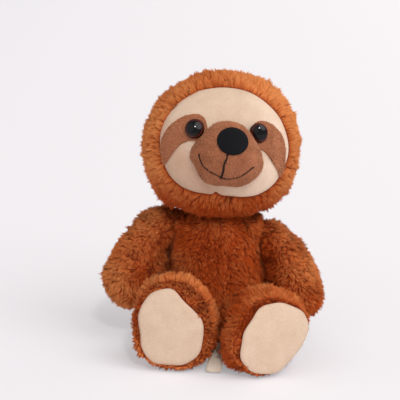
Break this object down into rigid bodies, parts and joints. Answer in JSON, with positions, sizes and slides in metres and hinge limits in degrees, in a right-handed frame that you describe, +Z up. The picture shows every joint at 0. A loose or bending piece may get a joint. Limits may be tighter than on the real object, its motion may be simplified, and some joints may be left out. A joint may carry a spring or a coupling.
{
  "type": "plush sloth",
  "caption": "Seated stuffed sloth with fur covers, a beige face panel, brown muzzle, plastic eyes, flat oval soles, and a neck, shoulders and hips that bend.",
  "frame": {"origin": "centre of the flat seat under the body, on the surface that the toy sits on", "axes": "+Z up through the head, -Y towards the feet and the side that the face is on, +X towards the toy's own left arm"},
  "size_m": [0.1759, 0.1401, 0.2235],
  "materials": {
    "long_pile_fur": "long soft pile",
    "beige_velboa": "short dense pile",
    "brown_velboa": "short dense pile",
    "black_nose_fabric": "short matte pile",
    "glossy_plastic": "polished",
    "polyester_fibre": "loose fibre",
    "pellet_bag": "plain woven",
    "draw_thread": "twisted thread",
    "nylon": "moulded",
    "satin_ribbon": "satin weave"
  },
  "bodies": {
    "torso": {"body_fur_cover": "long_pile_fur", "body_stuffing": "polyester_fibre", "seat_pellet_bag": "pellet_bag", "blank_label": "satin_ribbon"},
    "neck_ring": {"neck_thread": "draw_thread"},
    "head": {"face_panel": "beige_velboa", "head_fur_cover": "long_pile_fur", "head_stuffing": "polyester_fibre", "left_eye": "glossy_plastic", "left_eye_patch": "brown_velboa", "left_eye_washer": "nylon", "muzzle_cover": "brown_velboa", "muzzle_stuffing": "polyester_fibre", "nose": "black_nose_fabric", "right_eye": "glossy_plastic", "right_eye_patch": "brown_velboa", "right_eye_washer": "nylon"},
    "left_shoulder_ring": {"left_shoulder_thread": "draw_thread"},
    "left_arm": {"left_arm_fur_cover": "long_pile_fur", "left_arm_stuffing": "polyester_fibre"},
    "left_leg": {"left_leg_fur_cover": "long_pile_fur", "left_leg_stuffing": "polyester_fibre", "left_sole_pad": "beige_velboa"},
    "right_shoulder_ring": {"right_shoulder_thread": "draw_thread"},
    "right_arm": {"right_arm_fur_cover": "long_pile_fur", "right_arm_stuffing": "polyester_fibre"},
    "right_leg": {"right_leg_fur_cover": "long_pile_fur", "right_leg_stuffing": "polyester_fibre", "right_sole_pad": "beige_velboa"}
  },
  "joints": [
    {"name": "head_turn", "type": "hinge", "parent": "torso", "child": "neck_ring", "pos_m": [0, 0, 0.095], "axis": [0, 0, 1], "range_deg": [-45, 45], "stiffness_Nm_per_rad": 0.15},
    {"name": "head_nod", "type": "hinge", "parent": "neck_ring", "child": "head", "pos_m": [0, 0, 0.095], "axis": [1, 0, 0], "range_deg": [-20, 12], "stiffness_Nm_per_rad": 0.8},
    {"name": "left_arm_swing", "type": "hinge", "parent": "torso", "child": "left_shoulder_ring", "pos_m": [0.047, 0, 0.0835], "axis": [1, 0, 0], "range_deg": [-20, 45], "stiffness_Nm_per_rad": 0.06},
    {"name": "left_arm_lift", "type": "hinge", "parent": "left_shoulder_ring", "child": "left_arm", "pos_m": [0.047, 0, 0.0835], "axis": [0, -1, 0], "range_deg": [0, 80], "stiffness_Nm_per_rad": 0.06},
    {"name": "right_arm_swing", "type": "hinge", "parent": "torso", "child": "right_shoulder_ring", "pos_m": [-0.049, 0, 0.0935], "axis": [1, 0, 0], "range_deg": [-45, 45], "stiffness_Nm_per_rad": 0.06},
    {"name": "right_arm_lift", "type": "hinge", "parent": "right_shoulder_ring", "child": "right_arm", "pos_m": [-0.049, 0, 0.0935], "axis": [0, 1, 0], "range_deg": [0, 80], "stiffness_Nm_per_rad": 0.06},
    {"name": "left_leg_swing", "type": "hinge", "parent": "torso", "child": "left_leg", "pos_m": [0.027, -0.035, 0.025], "axis": [-0.9613, -0.2756, 0], "range_deg": [-15, 15], "stiffness_Nm_per_rad": 0.3},
    {"name": "right_leg_swing", "type": "hinge", "parent": "torso", "child": "right_leg", "pos_m": [-0.027, -0.032, 0.025], "axis": [-0.9848, 0.1736, 0], "range_deg": [-15, 15], "stiffness_Nm_per_rad": 0.3}
  ]
}
